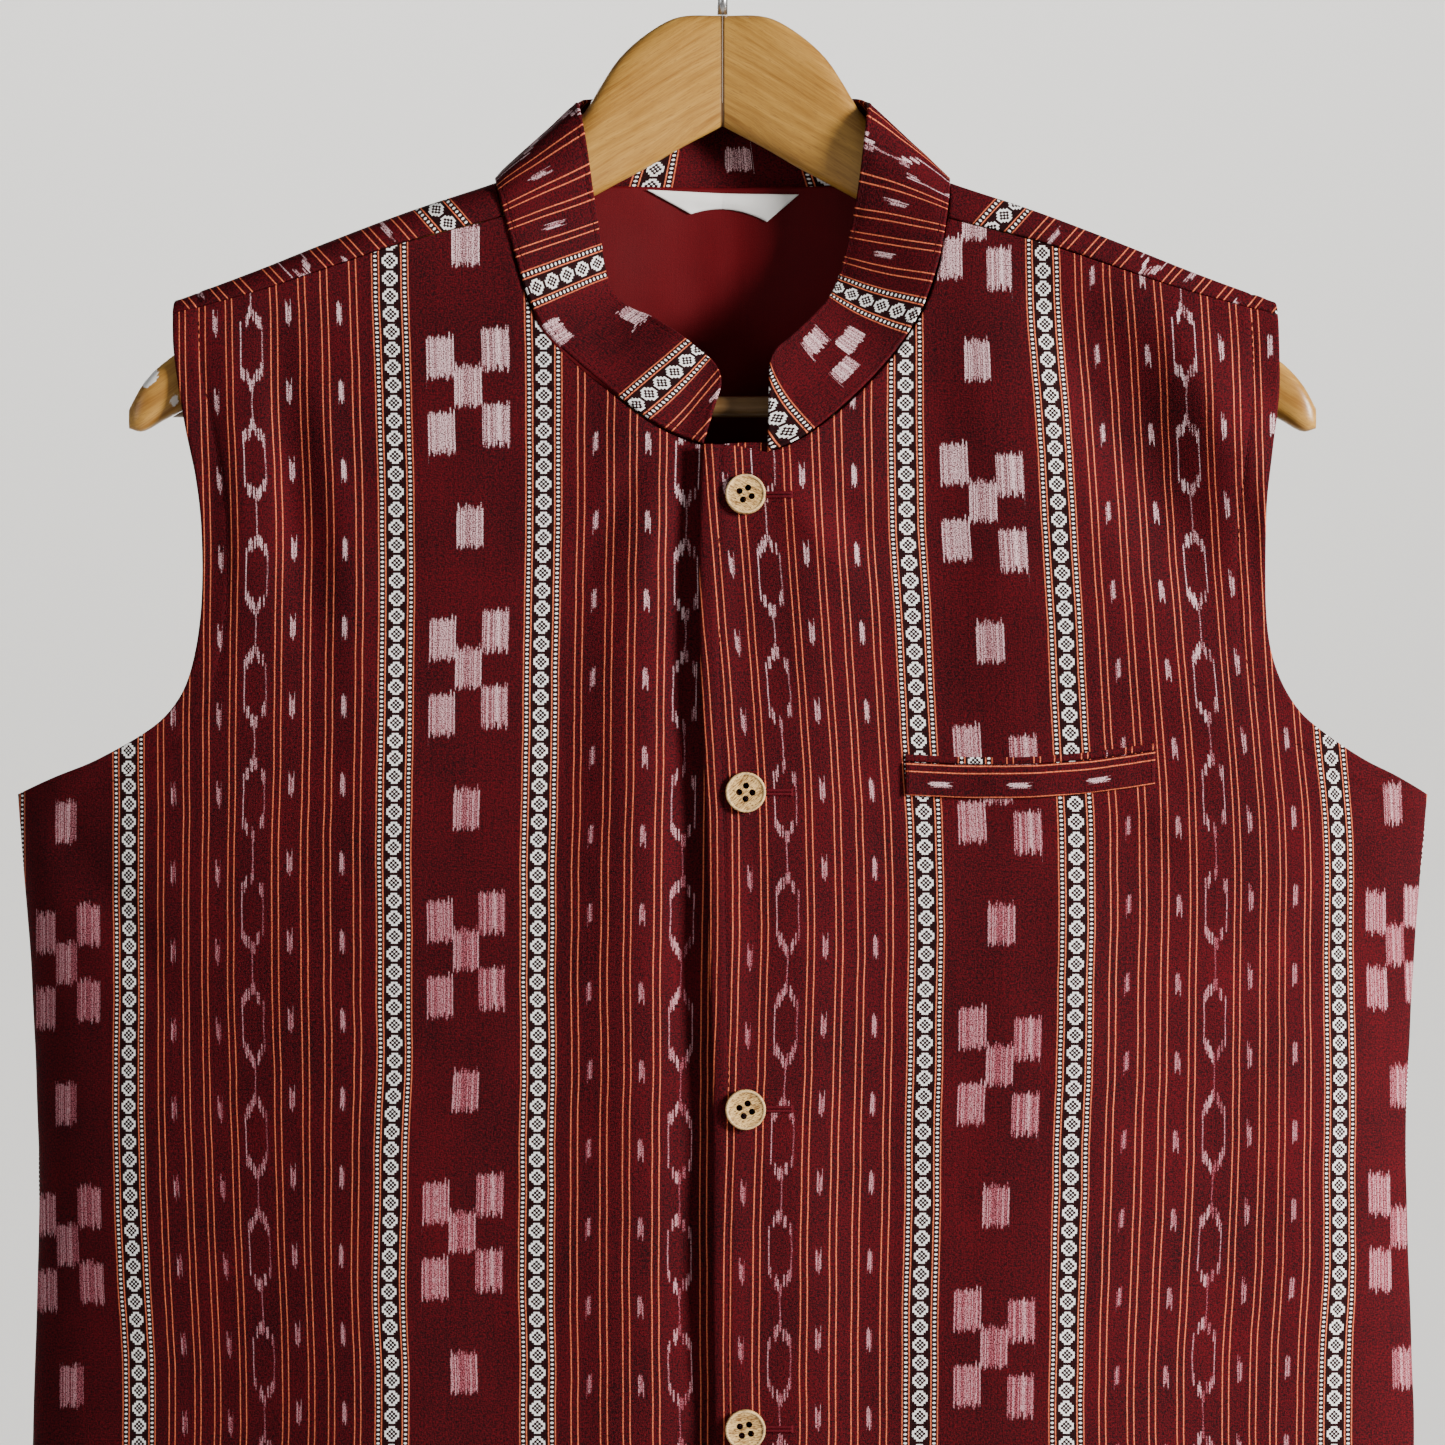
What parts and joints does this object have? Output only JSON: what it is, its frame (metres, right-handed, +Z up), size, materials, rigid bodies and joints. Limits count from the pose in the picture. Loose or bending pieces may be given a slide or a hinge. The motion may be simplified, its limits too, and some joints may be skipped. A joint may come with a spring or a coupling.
{
  "type": "nehru jacket on a wooden hanger",
  "caption": "Sleeveless stand-collar jacket in maroon handloom ikat, buttoned down the front, hanging on a wooden hanger with a trouser bar and a wire hook.",
  "frame": {"origin": "inside of the top of the hook, where a rail holds the part", "axes": "+Z up, -Y the jacket's front, +X the wearer's left"},
  "size_m": [0.548, 0.0891, 0.855],
  "materials": {
    "ikat_cloth": "matt handloom cotton with ikat stripes",
    "lining_cloth": "plain lining",
    "label_satin": "blank woven satin",
    "button_wood": "turned, unvarnished",
    "hanger_wood": "clear varnish",
    "hook_steel": "polished wire"
  },
  "bodies": {
    "root": {"left_front": "ikat_cloth", "right_front": "ikat_cloth", "back": "ikat_cloth", "collar": "ikat_cloth", "back_lining": "lining_cloth", "neck_label": "label_satin", "pocket_welt": "ikat_cloth", "pocket_facing": "ikat_cloth", "button_1": "button_wood", "button_2": "button_wood", "button_3": "button_wood", "button_4": "button_wood", "button_5": "button_wood", "hanger_arm_left": "hanger_wood", "hanger_arm_right": "hanger_wood", "trouser_bar": "hanger_wood", "hook": "hook_steel"}
  },
  "joints": []
}
